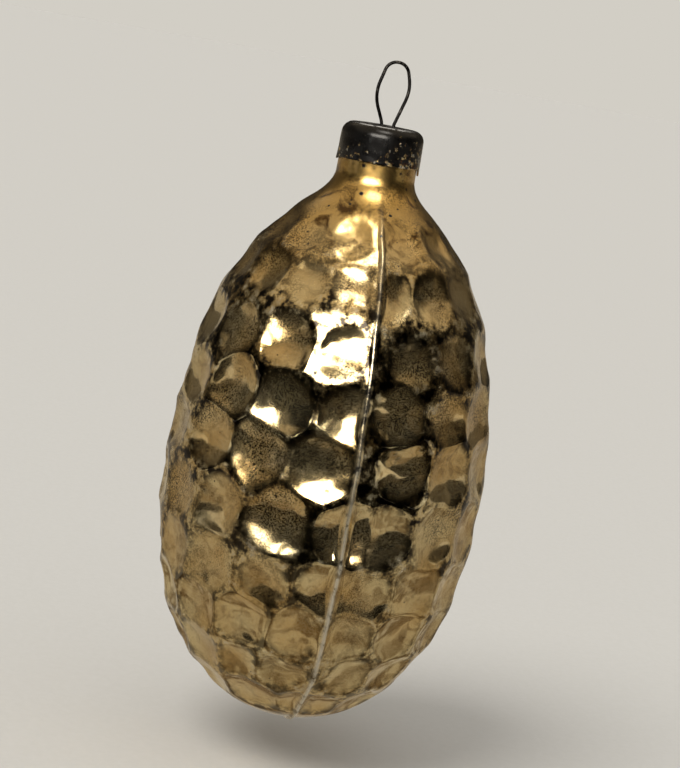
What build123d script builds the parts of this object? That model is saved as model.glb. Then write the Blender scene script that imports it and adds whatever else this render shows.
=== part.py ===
"""Honeycomb glass ornament: a mould-blown glass shell, a stamped metal cap and a bent wire hanger.

The origin is the inside top of the wire loop, where a hook or thread bears. +Z points up along the
ornament's axis. The mould's two parting lines lie at -Y and +Y, and the wire lies in the XZ plane.
All sizes are millimetres.
"""
from build123d import *
from math import cos, pi, radians, sin, sqrt
import os

# Glass shell. Radii are those of the ridges between the dimples.
BELLY_RADIUS = 24.6
BELLY_Z = -64.6
BELLY_TO_BOTTOM = 36.9
BOTTOM_FULLNESS = 2.4
BELLY_TO_SHOULDER = 45.7
SHOULDER_FULLNESS = 2.35
NECK_RIM_RADIUS = 5.78
NECK_RIM_Z = -11.4
NECK_TAPER = 0.035
NECK_BLEND = 6.5
BOTTOM_SPLINE_POINTS = 10
TOP_SPLINE_POINTS = 20

# Wall, measured from the ridges' skin to the smooth inside. It is thin at the neck, and thick enough
# below it to hold the dimples.
NECK_WALL = 0.6
BODY_WALL = 1.5
WALL_GROWS_FROM_Z = -16.4
WALL_GROWS_OVER = 12.0

# Dimples: one row per line, from the shoulder down. Each row holds its height, its cells all round,
# and the first cell's place on the -X half and on the +X half, in pitches from the front seam.
DIMPLE_ROWS = (
    (-25.3, 12, 0.55, 0.55),
    (-31.9, 16, 0.55, 0.30),
    (-40.7, 16, 0.55, 0.75),
    (-49.2, 16, 0.30, 0.55),
    (-56.9, 16, 0.55, 0.75),
    (-66.3, 16, 0.05, 0.60),
    (-75.1, 16, 0.10, 0.45),
    (-82.2, 16, 0.45, 0.40),
    (-89.5, 16, 0.55, 0.70),
    (-95.3, 12, 0.10, 0.35),
)
DIMPLE_SPHERE_RADIUS = 20.0
DIMPLE_EDGE_DEPTH = 0.05

# Cap.
CAP_TOP_Z = -9.1
CAP_HEIGHT = 5.5
CAP_RIM_Z = CAP_TOP_Z - CAP_HEIGHT
CAP_SKIRT_RADIUS = 6.45
CAP_TOP_RADIUS = 6.3
CAP_SHOULDER_RADIUS = 1.7
CAP_SHEET = 0.3
CAP_HOLE_RADIUS = 0.5
CAP_HOLES_X = (-0.4, 1.35)
TAB_WIDTH = 1.9
TAB_ROOT = 0.5
TAB_DROP = 1.1
TIP_DROP = 0.45

# Wire hanger: corners in the XZ plane from the -X leg's end, over the loop, to the +X leg's end, and
# the bend radius at each corner between the two ends.
WIRE_RADIUS = 0.25
WAIST_Z = CAP_TOP_Z - CAP_SHEET / 2
WIRE_CORNERS = (
    (-3.2, -21.3),
    (-0.3, WAIST_Z),
    (-2.35, -5.0),
    (-1.0, WIRE_RADIUS),
    (1.85, WIRE_RADIUS),
    (3.0, -3.4),
    (1.3, WAIST_Z),
    (3.2, -21.3),
)
WIRE_BENDS = (2.5, 6.0, 1.8, 1.8, 6.0, 2.5)


def skin_radius(z, inset=0.0):
    """Radius at height z of the smooth skin that the ridges touch, moved inwards by inset."""
    below = z < BELLY_Z
    reach = (BELLY_TO_BOTTOM if below else BELLY_TO_SHOULDER) - inset
    fullness = BOTTOM_FULLNESS if below else SHOULDER_FULLNESS
    share = min(1.0, abs(z - BELLY_Z) / reach)
    body = (BELLY_RADIUS - inset) * sqrt(1 - share**fullness)
    if below:
        return body
    neck = NECK_RIM_RADIUS + NECK_TAPER * (NECK_RIM_Z - z) - inset
    mix = min(1.0, max(0.0, 0.5 + 0.5 * (body - neck) / NECK_BLEND))
    return neck * (1 - mix) + body * mix + NECK_BLEND * mix * (1 - mix)


def skin_slope(z):
    """How fast the skin's radius grows with height at z."""
    step = 0.05
    return (skin_radius(z + step) - skin_radius(z - step)) / (2 * step)


def no_wall(z):
    """Inset of the outside itself."""
    return 0.0


def wall_at(z):
    """Wall at height z."""
    share = min(1.0, max(0.0, (WALL_GROWS_FROM_Z - z) / WALL_GROWS_OVER))
    return NECK_WALL + (BODY_WALL - NECK_WALL) * share


def skin_curve(inset):
    """Half outline from the bottom pole up to the neck's rim, as one smooth curve in the XZ plane."""
    bottom = BELLY_Z - BELLY_TO_BOTTOM + inset(BELLY_Z)
    points = [(0, 0, bottom)]
    for step in range(1, BOTTOM_SPLINE_POINTS):
        z = BELLY_Z - (BELLY_Z - bottom) * cos(pi / 2 * step / BOTTOM_SPLINE_POINTS)
        points.append((skin_radius(z, inset(z)), 0, z))
    for step in range(TOP_SPLINE_POINTS + 1):
        z = BELLY_Z + (NECK_RIM_Z - BELLY_Z) * step / TOP_SPLINE_POINTS
        points.append((skin_radius(z, inset(z)), 0, z))
    return Spline(*points, tangents=[(1, 0, 0), (0, 0, 1)])


def skin_solid(inset):
    """Solid of revolution inside the skin, flat at the neck's rim."""
    curve = skin_curve(inset)
    lid = Line(curve @ 1, (0, 0, NECK_RIM_Z))
    axis_line = Line(lid @ 1, curve @ 0)
    return revolve(make_face([curve, lid, axis_line]), Axis.Z, 360)


def dimple_spheres():
    """Spheres that press the dimples, each one square to the skin at its cell's centre."""
    spheres = []
    for z, cells, left, right in DIMPLE_ROWS:
        radius = skin_radius(z)
        slope = skin_slope(z)
        out = 1 / sqrt(1 + slope * slope)
        up = -slope * out
        pitch = 2 * pi * radius / cells
        depth = DIMPLE_EDGE_DEPTH + pitch**2 / 8 * (1 / DIMPLE_SPHERE_RADIUS + out / radius)
        offset = DIMPLE_SPHERE_RADIUS - depth
        reach = radius + out * offset
        for side, first in ((-1, left), (1, right)):
            for index in range(cells // 2):
                turn = radians(side * (first + index) * 360 / cells)
                centre = (reach * sin(turn), -reach * cos(turn), z + up * offset)
                spheres.append(Pos(*centre) * Sphere(DIMPLE_SPHERE_RADIUS))
    return spheres


def make_glass_body():
    """Hollow dimpled shell with a smooth inside and an open neck."""
    pressed = skin_solid(no_wall).cut(*dimple_spheres())
    return pressed - skin_solid(wall_at)


def cap_solid(gap):
    """Solid inside the cap's outside, moved inwards by gap."""
    top = CAP_TOP_Z - gap
    top_radius = CAP_TOP_RADIUS - gap
    bend = CAP_SHOULDER_RADIUS - gap
    flat = Line((0, 0, top), (top_radius - bend, 0, top))
    middle = (top_radius - bend + bend * sin(pi / 4), 0, top - bend + bend * cos(pi / 4))
    shoulder = ThreePointArc(flat @ 1, middle, (top_radius, 0, top - bend))
    skirt = Line(shoulder @ 1, (CAP_SKIRT_RADIUS - gap, 0, CAP_RIM_Z))
    base = Line(skirt @ 1, (0, 0, CAP_RIM_Z))
    close = Line(base @ 1, flat @ 0)
    return revolve(make_face([flat, shoulder, skirt, base, close]), Axis.Z, 360)


def rim_scrap(side, drop):
    """Tapered scrap of sheet that hangs below the cap's rim at +X or -X."""
    height = 2 * (drop + TAB_ROOT)
    ring = Cylinder(CAP_SKIRT_RADIUS, height) - Cylinder(CAP_SKIRT_RADIUS - CAP_SHEET, height)
    top = CAP_RIM_Z + TAB_ROOT
    low = CAP_RIM_Z - drop
    outline = Polyline((0, -TAB_WIDTH / 2, top), (0, TAB_WIDTH / 2, top), (0, TAB_WIDTH / 4, low),
                       (0, -TAB_WIDTH / 4, low), close=True)
    wedge = extrude(make_face(outline), amount=2 * CAP_SKIRT_RADIUS, dir=(side, 0, 0))
    return (Pos(0, 0, CAP_RIM_Z) * ring) & wedge


def make_cap():
    """Stamped cap with two wire holes, a torn tab at +X and a small bent tip at -X."""
    cap = cap_solid(0) - cap_solid(CAP_SHEET)
    for x in CAP_HOLES_X:
        cap -= Pos(x, 0, CAP_TOP_Z) * Cylinder(CAP_HOLE_RADIUS, 4 * CAP_SHEET)
    return cap + rim_scrap(1, TAB_DROP) + rim_scrap(-1, TIP_DROP)


def make_wire_hanger():
    """Teardrop loop pinched at the cap's holes, with two legs that splay inside the neck. It stands a
    little towards +X, as it was bent by hand."""
    path = FilletPolyline(*[(x, 0, z) for x, z in WIRE_CORNERS], radius=list(WIRE_BENDS))
    section = Plane(origin=path @ 0, z_dir=path % 0) * Circle(WIRE_RADIUS)
    return sweep(section, path=path)


os.makedirs("parts", exist_ok=True)
for name, make in (("wire_hanger", make_wire_hanger), ("cap", make_cap), ("glass_body", make_glass_body)):
    piece = make()
    export_step(piece, f"parts/{name}.step")
    print(name, round(piece.volume, 2), "mm3, valid", piece.is_valid, ", solids", len(piece.solids()))
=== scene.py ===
"""Looks of a honeycomb glass ornament: silvered and gold-lacquered glass, a blackened cap and a wire loop.

Sizes in the property groups are millimetres, and every mesh is made in metres in the row's own frame.
"""
import bpy
import bmesh
import random
from math import cos, exp, pi, radians, sin, sqrt, tau
from mathutils import Matrix, Vector, noise


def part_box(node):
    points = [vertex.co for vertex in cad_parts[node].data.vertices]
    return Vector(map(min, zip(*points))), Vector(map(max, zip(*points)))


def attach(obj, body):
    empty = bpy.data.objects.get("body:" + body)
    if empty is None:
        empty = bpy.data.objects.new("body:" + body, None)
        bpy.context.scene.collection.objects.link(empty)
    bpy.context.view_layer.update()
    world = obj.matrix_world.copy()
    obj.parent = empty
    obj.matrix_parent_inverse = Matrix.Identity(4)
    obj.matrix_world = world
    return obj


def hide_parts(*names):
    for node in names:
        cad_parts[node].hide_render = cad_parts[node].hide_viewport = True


bl_info = {
    "name": "Honeycomb glass ornament",
    "version": (1, 0, 0),
    "blender": (4, 5, 0),
    "location": "3D View > Sidebar > Ornament",
    "description": "Makes a dimpled silvered glass ornament with its cap and wire loop",
    "category": "Add Mesh",
}

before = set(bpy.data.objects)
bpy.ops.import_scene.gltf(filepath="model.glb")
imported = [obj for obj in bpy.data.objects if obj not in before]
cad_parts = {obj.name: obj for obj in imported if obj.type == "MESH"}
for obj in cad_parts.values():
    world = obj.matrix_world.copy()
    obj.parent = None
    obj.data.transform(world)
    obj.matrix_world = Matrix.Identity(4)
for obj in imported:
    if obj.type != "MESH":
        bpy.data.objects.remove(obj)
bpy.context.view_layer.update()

MM = 0.001

# Share of the floor's light that comes from all round; a soft sun at this height gives the rest, so
# the floor's brightness is its own colour.
ROOM_LIGHT = 0.6
SUN_HEIGHT = radians(55)
FLOOR_GAP = 5.5 * MM
FLOOR_RADIUS = 12.0
LAMP_COLOUR = "FFF8EC"

# How bright the mirror sees the room at the sides, overhead and in its paler patches, and the share of
# all three that it shows.
SIDE_GLOW = 0.48
CEILING_GLOW = 2.8
PATCH_GLOW = 0.3
MIRRORED_ROOM = 0.22

# The glass skin that the ridges touch, in millimetres. Heights are above the origin.
BELLY_RADIUS = 24.6
BELLY_Z = -64.6
BELLY_TO_BOTTOM = 36.9
BOTTOM_FULLNESS = 2.4
BELLY_TO_SHOULDER = 45.7
SHOULDER_FULLNESS = 2.35
NECK_RIM_RADIUS = 5.78
NECK_RIM_Z = -11.4
NECK_TAPER = 0.035
NECK_BLEND = 6.5
NECK_EASE = 1.8

# Wall from the skin to the smooth inside. It thickens from the neck down between these two heights.
NECK_WALL = 0.8
BODY_WALL = 1.9
WALL_THIN_ABOVE = -17
WALL_FULL_BELOW = -28

# The mould pressed deeper towards the bottom, between these two heights.
PRESS_EXTRA = 0.35
PRESS_PLAIN_ABOVE = -72
PRESS_FULL_BELOW = -86

# Dimples: height, cells all round, and the first cell's place on the -X and +X halves, in pitches
# from the front seam. The mould's two halves don't match, so each half has its own start.
DIMPLE_ROWS = (
    (-25.3, 12, 0.55, 0.55),
    (-31.9, 16, 0.55, 0.30),
    (-40.7, 16, 0.55, 0.75),
    (-49.2, 16, 0.30, 0.55),
    (-56.9, 16, 0.55, 0.75),
    (-66.3, 16, 0.05, 0.60),
    (-75.1, 16, 0.10, 0.45),
    (-82.2, 16, 0.45, 0.40),
    (-89.5, 16, 0.55, 0.70),
    (-95.3, 12, 0.10, 0.35),
)

# Cap and wire, as the CAD has them.
CAP_TOP_Z = -9.1
CAP_HEIGHT = 5.5
CAP_RIM_Z = CAP_TOP_Z - CAP_HEIGHT
CAP_SKIRT_RADIUS = 6.45
CAP_TOP_RADIUS = 6.3
CAP_SHOULDER_RADIUS = 1.7
CAP_SHEET = 0.3
CAP_HOLE_RADIUS = 0.5
CAP_HOLES_X = (-0.4, 1.35)
CAP_CROWN = 0.18
CAP_DENT = 0.1
CAP_SQUEEZE = 0.12
TAB_DROP = 1.05
TAB_ANGLE = radians(82)
TIP_DROP = 0.35
TIP_ANGLE = radians(266)


# ---------------------------------------------------------------- small helpers


def linear(code, alpha=1.0):
    """An sRGB hex colour such as "C8A064" as a linear RGBA tuple."""
    channels = [int(code[i:i + 2], 16) / 255 for i in (0, 2, 4)]
    curve = [c / 12.92 if c <= 0.04045 else ((c + 0.055) / 1.055) ** 2.4 for c in channels]
    return (*curve, alpha)


# A Mix node's sockets by place, because several share one name: its two numbers, its two colours, and
# the colour that it gives.
NUMBER_A, NUMBER_B, COLOUR_A, COLOUR_B, COLOUR_OUT = 2, 3, 6, 7, 2


def add_node(tree, kind, inputs=None, **settings):
    """Adds a node. settings are its own values; inputs are values, or the sockets that feed it."""
    node = tree.nodes.new(kind)
    for name, value in settings.items():
        setattr(node, name, value)
    for key, value in (inputs or {}).items():
        if isinstance(value, bpy.types.NodeSocket):
            tree.links.new(value, node.inputs[key])
        else:
            node.inputs[key].default_value = value
    return node


def smooth(low, high, value):
    """0 below low, 1 above high, and an even S between them."""
    share = min(1.0, max(0.0, (value - low) / (high - low)))
    return share * share * (3 - 2 * share)


def new_object(name, data):
    """An object at the origin that shows data, linked into the scene."""
    obj = bpy.data.objects.new(name, data)
    bpy.context.scene.collection.objects.link(obj)
    return obj


def mesh_object(name, points, faces, material):
    """A mesh object at the origin from points in millimetres, smooth shaded."""
    mesh = bpy.data.meshes.new(name)
    mesh.from_pydata([(x * MM, y * MM, z * MM) for x, y, z in points], [], faces)
    mesh.materials.append(material)
    mesh.shade_smooth()
    return new_object(name, mesh)


def nodes_modifier(obj, tree, values):
    """Puts a geometry node tree on obj, with its named inputs set."""
    modifier = obj.modifiers.new(tree.name, "NODES")
    modifier.node_group = tree
    sockets = {item.name: item for item in tree.interface.items_tree if item.in_out == "INPUT"}
    for name, value in values.items():
        modifier[sockets[name].identifier] = value


def made_plain(obj, name):
    """obj with its modifiers applied, as a new plain mesh object; obj itself is removed."""
    graph = bpy.context.evaluated_depsgraph_get()
    mesh = bpy.data.meshes.new_from_object(obj.evaluated_get(graph), depsgraph=graph)
    plain = new_object(name, mesh)
    bpy.data.objects.remove(obj)
    plain.name = name
    mesh.name = name
    return plain


def new_tree(name, inputs):
    """A geometry node tree with named inputs, given as name, socket type and default."""
    tree = bpy.data.node_groups.new(name, "GeometryNodeTree")
    tree.interface.new_socket("Geometry", in_out="INPUT", socket_type="NodeSocketGeometry")
    tree.interface.new_socket("Geometry", in_out="OUTPUT", socket_type="NodeSocketGeometry")
    for label, kind, default in inputs:
        socket = tree.interface.new_socket(label, in_out="INPUT", socket_type=kind)
        if default is not None:
            socket.default_value = default
    return tree


# ---------------------------------------------------------------- the glass skin


def drawn_radius(z, inset):
    """Radius in millimetres at height z of the drawn outline, moved inwards by inset."""
    below = z < BELLY_Z
    reach = (BELLY_TO_BOTTOM if below else BELLY_TO_SHOULDER) - inset
    fullness = BOTTOM_FULLNESS if below else SHOULDER_FULLNESS
    share = min(1.0, abs(z - BELLY_Z) / reach)
    body = (BELLY_RADIUS - inset) * sqrt(1 - share**fullness)
    if below:
        return body
    neck = NECK_RIM_RADIUS + NECK_TAPER * (NECK_RIM_Z - z) - inset
    mix = min(1.0, max(0.0, 0.5 + 0.5 * (body - neck) / NECK_BLEND))
    return neck * (1 - mix) + body * mix + NECK_BLEND * mix * (1 - mix)


def skin_radius(z, inset=0.0):
    """Radius of the smooth skin: the drawn outline, with the corner between neck and shoulder eased
    over NECK_EASE, as soft glass flows."""
    if z < BELLY_Z + NECK_EASE:
        return drawn_radius(z, inset)
    steps = 7
    heights = [z + NECK_EASE * (2 * step / (steps - 1) - 1) for step in range(steps)]
    return sum(drawn_radius(height, inset) for height in heights) / steps


def wall_at(z):
    """Wall at height z: thin at the neck, and thicker below, where it holds the dimples."""
    thick = 1 - smooth(WALL_FULL_BELOW, WALL_THIN_ABOVE, z)
    return NECK_WALL + (BODY_WALL - NECK_WALL) * thick


def skin_rows(count, inset):
    """Heights and radii of count rings from just above the bottom pole to the neck's rim, evenly
    spaced along the outline. inset gives how far inside the skin the rings lie at a height."""
    bottom = BELLY_Z - BELLY_TO_BOTTOM + inset(BELLY_Z)
    samples = 4000
    path = []
    for step in range(samples + 1):
        share = step / samples
        z = bottom + (NECK_RIM_Z - bottom) * share * share
        path.append((skin_radius(z, inset(z)), z))
    lengths = [0.0]
    for (r0, z0), (r1, z1) in zip(path, path[1:]):
        lengths.append(lengths[-1] + sqrt((r1 - r0) ** 2 + (z1 - z0) ** 2))
    rows = []
    index = 0
    for ring in range(1, count + 1):
        target = lengths[-1] * ring / count
        while index < samples - 1 and lengths[index + 1] < target:
            index += 1
        share = (target - lengths[index]) / (lengths[index + 1] - lengths[index])
        r0, z0 = path[index]
        r1, z1 = path[index + 1]
        rows.append((r0 + (r1 - r0) * share, z0 + (z1 - z0) * share))
    return bottom, rows


def ring_angles(columns, crowding):
    """Angles from -Y towards +X, closer together at the seams, where the detail is finest."""
    plain = [tau * i / columns for i in range(columns)]
    return [a - crowding / 2 * sin(2 * a) for a in plain]


def ring_faces(rings, columns):
    """Faces of a closed skin: a pole, rings of columns points each, and a second pole. They point
    outwards when the skin sets out from its lowest pole, with angles that run from -Y to +X."""
    last = 1 + rings * columns
    faces = []
    for i in range(columns):
        j = (i + 1) % columns
        faces.append((0, 1 + j, 1 + i))
        for low in range(1, last - columns, columns):
            faces.append((low + i, low + j, low + columns + j, low + columns + i))
        faces.append((last - columns + i, last - columns + j, last))
    return faces


def glass_blank(columns, rings, inner_rings, material):
    """Smooth closed shell: the outer skin up to the rim, a rounded rim, and the inner skin."""
    angles = ring_angles(columns, 0.35)
    bottom, outer = skin_rows(rings, lambda z: 0.0)
    inner_bottom, inner = skin_rows(inner_rings, wall_at)
    rim = (outer[-1][0] - NECK_WALL / 2, outer[-1][1] + NECK_WALL / 3)
    rows = outer + [rim] + inner[::-1]
    points = [(0, 0, bottom)]
    for radius, z in rows:
        points += [(radius * sin(a), -radius * cos(a), z) for a in angles]
    points.append((0, 0, inner_bottom))
    obj = mesh_object("glass_blank", points, ring_faces(len(rows), columns), material)
    outside = 1 + rings * columns
    skin = obj.data.attributes.new("outer_skin", "FLOAT", "POINT")
    skin.data.foreach_set("value", [1.0] * outside + [0.0] * (len(points) - outside))
    return obj


def dimple_centres(sphere_radius, edge_depth, wander, seed):
    """A mesh of one point per dimple, which holds how deep and how curved its press is."""
    draw = random.Random(seed)
    points, depths, bends = [], [], []
    for z, cells, left, right in DIMPLE_ROWS:
        radius = skin_radius(z)
        slope = (skin_radius(z + 0.05) - skin_radius(z - 0.05)) / 0.1
        out = 1 / sqrt(1 + slope * slope)
        pitch = tau * radius / cells
        bend = 1 / sphere_radius + out / radius
        press = 1 + PRESS_EXTRA * (1 - smooth(PRESS_FULL_BELOW, PRESS_PLAIN_ABOVE, z))
        for side, first in ((-1, left), (1, right)):
            for index in range(cells // 2):
                spread = draw.uniform(0.9, 1.18)
                turn = side * (first + index) * tau / cells + draw.uniform(-1, 1) * wander / radius
                height = z + draw.uniform(-1, 1) * wander
                ring = skin_radius(height)
                points.append((ring * sin(turn) * MM, -ring * cos(turn) * MM, height * MM))
                depths.append((edge_depth + pitch**2 / 8 * bend * draw.uniform(0.8, 1.2)) * press * MM)
                bends.append(bend * spread * press / MM)
    mesh = bpy.data.meshes.new("dimple_centres")
    mesh.from_pydata(points, [], [])
    mesh.attributes.new("depth", "FLOAT", "POINT").data.foreach_set("value", depths)
    mesh.attributes.new("bend", "FLOAT", "POINT").data.foreach_set("value", bends)
    return new_object("dimple_centres", mesh)


def press_tree():
    """Geometry nodes that press every dimple into the blank, raise the mould seams and let the
    glass wave a little, as blown glass does.

    Each dimple is a bowl about its centre. The bowls meet in a soft maximum, so the ridges between
    them come out rounded, and the skin stays where no bowl reaches."""
    tree = new_tree("press_dimples", (
        ("Dimples", "NodeSocketObject", None),
        ("Ridge Rounding", "NodeSocketFloat", 0.18 * MM),
        ("Warp", "NodeSocketFloat", 2.4 * MM),
        ("Warp Length", "NodeSocketFloat", 5.0 * MM),
        ("Seam Height", "NodeSocketFloat", 0.4 * MM),
        ("Seam Width", "NodeSocketFloat", 0.35 * MM),
        ("Seam Land", "NodeSocketFloat", 1.3 * MM),
        ("Wave Height", "NodeSocketFloat", 0.1 * MM),
        ("Wave Length", "NodeSocketFloat", 9 * MM),
        ("Top", "NodeSocketFloat", -19 * MM),
        ("Material", "NodeSocketMaterial", None),
    ))
    feed = add_node(tree, "NodeGroupInput").outputs
    cells = add_node(tree, "GeometryNodeObjectInfo", {"Object": feed["Dimples"]}).outputs["Geometry"]
    count = add_node(tree, "GeometryNodeAttributeDomainSize", {"Geometry": cells}).outputs["Point Count"]
    position = add_node(tree, "GeometryNodeInputPosition").outputs[0]
    warp_scale = add_node(tree, "ShaderNodeMath", {
        0: 1.0, 1: feed["Warp Length"]}, operation="DIVIDE").outputs[0]
    warp = add_node(tree, "ShaderNodeTexNoise", {
        "Vector": position, "Scale": warp_scale, "Detail": 2.0}).outputs["Color"]
    warp_centred = add_node(tree, "ShaderNodeVectorMath", {
        0: warp, 1: (0.5, 0.5, 0.5)}, operation="SUBTRACT").outputs[0]
    warp_offset = add_node(tree, "ShaderNodeVectorMath", {
        0: warp_centred, "Scale": feed["Warp"]}, operation="SCALE").outputs[0]
    warped = add_node(tree, "ShaderNodeVectorMath", {0: position, 1: warp_offset}).outputs[0]
    start = add_node(tree, "GeometryNodeStoreNamedAttribute", {
        "Geometry": feed["Geometry"], "Name": "press", "Value": 1.0}).outputs[0]
    zone_in = add_node(tree, "GeometryNodeRepeatInput")
    zone_out = add_node(tree, "GeometryNodeRepeatOutput")
    zone_in.pair_with_output(zone_out)
    tree.links.new(count, zone_in.inputs["Iterations"])
    tree.links.new(start, zone_in.inputs["Geometry"])
    turn = zone_in.outputs["Iteration"]
    centre = add_node(tree, "GeometryNodeSampleIndex", {
        "Geometry": cells, "Value": position, "Index": turn}, data_type="FLOAT_VECTOR")
    values = {}
    for name in ("depth", "bend"):
        named = add_node(tree, "GeometryNodeInputNamedAttribute", {"Name": name}).outputs["Attribute"]
        values[name] = add_node(tree, "GeometryNodeSampleIndex", {
            "Geometry": cells, "Value": named, "Index": turn}).outputs["Value"]
    away = add_node(tree, "ShaderNodeVectorMath", {
        0: warped, 1: centre.outputs["Value"]}, operation="DISTANCE").outputs["Value"]
    square = add_node(tree, "ShaderNodeMath", {0: away, 1: 2.0}, operation="POWER").outputs[0]
    half_bend = add_node(tree, "ShaderNodeMath", {
        0: values["bend"], 1: 0.5}, operation="MULTIPLY").outputs[0]
    fall = add_node(tree, "ShaderNodeMath", {0: square, 1: half_bend}, operation="MULTIPLY").outputs[0]
    bowl = add_node(tree, "ShaderNodeMath", {0: values["depth"], 1: fall}, operation="SUBTRACT").outputs[0]
    ratio = add_node(tree, "ShaderNodeMath", {
        0: bowl, 1: feed["Ridge Rounding"]}, operation="DIVIDE").outputs[0]
    power = add_node(tree, "ShaderNodeMath", {0: ratio}, operation="EXPONENT").outputs[0]
    so_far = add_node(tree, "GeometryNodeInputNamedAttribute", {"Name": "press"}).outputs["Attribute"]
    total = add_node(tree, "ShaderNodeMath", {0: so_far, 1: power}).outputs[0]
    stored = add_node(tree, "GeometryNodeStoreNamedAttribute", {
        "Geometry": zone_in.outputs["Geometry"], "Name": "press", "Value": total}).outputs[0]
    tree.links.new(stored, zone_out.inputs["Geometry"])

    press = add_node(tree, "GeometryNodeInputNamedAttribute", {"Name": "press"}).outputs["Attribute"]
    log = add_node(tree, "ShaderNodeMath", {0: press, 1: exp(1)}, operation="LOGARITHM").outputs[0]
    depth = add_node(tree, "ShaderNodeMath", {
        0: log, 1: feed["Ridge Rounding"]}, operation="MULTIPLY").outputs[0]
    axes = add_node(tree, "ShaderNodeSeparateXYZ", {0: position}).outputs
    seam_wave = add_node(tree, "ShaderNodeTexNoise", {
        "Vector": position, "Scale": 90.0, "Detail": 2.0}, noise_dimensions="3D").outputs["Fac"]
    shift = add_node(tree, "ShaderNodeMapRange", {
        "Value": seam_wave, "To Min": -0.5 * MM, "To Max": 0.5 * MM}).outputs["Result"]
    from_seam = add_node(tree, "ShaderNodeMath", {0: axes["X"], 1: shift}).outputs[0]
    beside = add_node(tree, "ShaderNodeMath", {0: from_seam}, operation="ABSOLUTE").outputs[0]
    land = add_node(tree, "ShaderNodeMapRange", {
        "Value": beside, "From Max": feed["Seam Land"], "To Min": 0.3}, interpolation_type="SMOOTHSTEP")
    kept = add_node(tree, "ShaderNodeMath", {
        0: depth, 1: land.outputs["Result"]}, operation="MULTIPLY").outputs[0]
    seam_ratio = add_node(tree, "ShaderNodeMath", {
        0: beside, 1: feed["Seam Width"]}, operation="DIVIDE").outputs[0]
    seam_square = add_node(tree, "ShaderNodeMath", {0: seam_ratio, 1: 2.0}, operation="POWER").outputs[0]
    seam_minus = add_node(tree, "ShaderNodeMath", {
        0: seam_square, 1: -1.0}, operation="MULTIPLY").outputs[0]
    seam_bell = add_node(tree, "ShaderNodeMath", {0: seam_minus}, operation="EXPONENT").outputs[0]
    below_top = add_node(tree, "ShaderNodeMapRange", {
        "Value": axes["Z"], "From Min": feed["Top"], "From Max": -26 * MM},
        interpolation_type="SMOOTHSTEP").outputs["Result"]
    seam_fade = add_node(tree, "ShaderNodeMath", {
        0: seam_bell, 1: below_top}, operation="MULTIPLY").outputs[0]
    seam = add_node(tree, "ShaderNodeMath", {
        0: seam_fade, 1: feed["Seam Height"]}, operation="MULTIPLY").outputs[0]
    wave_scale = add_node(tree, "ShaderNodeMath", {
        0: 1.0, 1: feed["Wave Length"]}, operation="DIVIDE").outputs[0]
    wave = add_node(tree, "ShaderNodeTexNoise", {
        "Vector": position, "Scale": wave_scale, "Detail": 3.0, "Roughness": 0.45}).outputs["Fac"]
    wave_centred = add_node(tree, "ShaderNodeMath", {0: wave, 1: 0.5}, operation="SUBTRACT").outputs[0]
    waving = add_node(tree, "ShaderNodeMath", {
        0: wave_centred, 1: feed["Wave Height"]}, operation="MULTIPLY").outputs[0]
    out = add_node(tree, "ShaderNodeMath", {0: seam, 1: kept}, operation="SUBTRACT").outputs[0]
    rise = add_node(tree, "ShaderNodeMath", {0: out, 1: waving}).outputs[0]
    outer = add_node(tree, "GeometryNodeInputNamedAttribute", {"Name": "outer_skin"}).outputs["Attribute"]
    rise_outer = add_node(tree, "ShaderNodeMath", {0: rise, 1: outer}, operation="MULTIPLY").outputs[0]
    normal = add_node(tree, "GeometryNodeInputNormal").outputs[0]
    offset = add_node(tree, "ShaderNodeVectorMath", {
        0: normal, "Scale": rise_outer}, operation="SCALE").outputs[0]
    marked = add_node(tree, "GeometryNodeStoreNamedAttribute", {
        "Geometry": zone_out.outputs["Geometry"], "Name": "dimple_depth", "Value": kept}).outputs[0]
    seamed = add_node(tree, "GeometryNodeStoreNamedAttribute", {
        "Geometry": marked, "Name": "seam_line", "Value": seam_fade}).outputs[0]
    moved = add_node(tree, "GeometryNodeSetPosition", {"Geometry": seamed, "Offset": offset}).outputs[0]
    clean = add_node(tree, "GeometryNodeRemoveAttribute", {"Geometry": moved, "Name": "press"}).outputs[0]
    real = add_node(tree, "GeometryNodeRealizeInstances", {"Geometry": clean}).outputs[0]
    painted = add_node(tree, "GeometryNodeSetMaterial", {
        "Geometry": real, "Material": feed["Material"]}).outputs[0]
    add_node(tree, "NodeGroupOutput", {"Geometry": painted})
    return tree


# ---------------------------------------------------------------- materials
#
# A noise's scale is the number of its lumps in a metre: 110 gives clouds of about 9 mm, and 4200 gives
# grain of about 0.24 mm.


def new_material(name):
    """An empty node material and its principled shader, joined to the output."""
    material = bpy.data.materials.new(name)
    material.use_nodes = True
    tree = material.node_tree
    tree.nodes.clear()
    shader = add_node(tree, "ShaderNodeBsdfPrincipled")
    add_node(tree, "ShaderNodeOutputMaterial", {"Surface": shader.outputs["BSDF"]})
    return material, tree, shader


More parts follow.
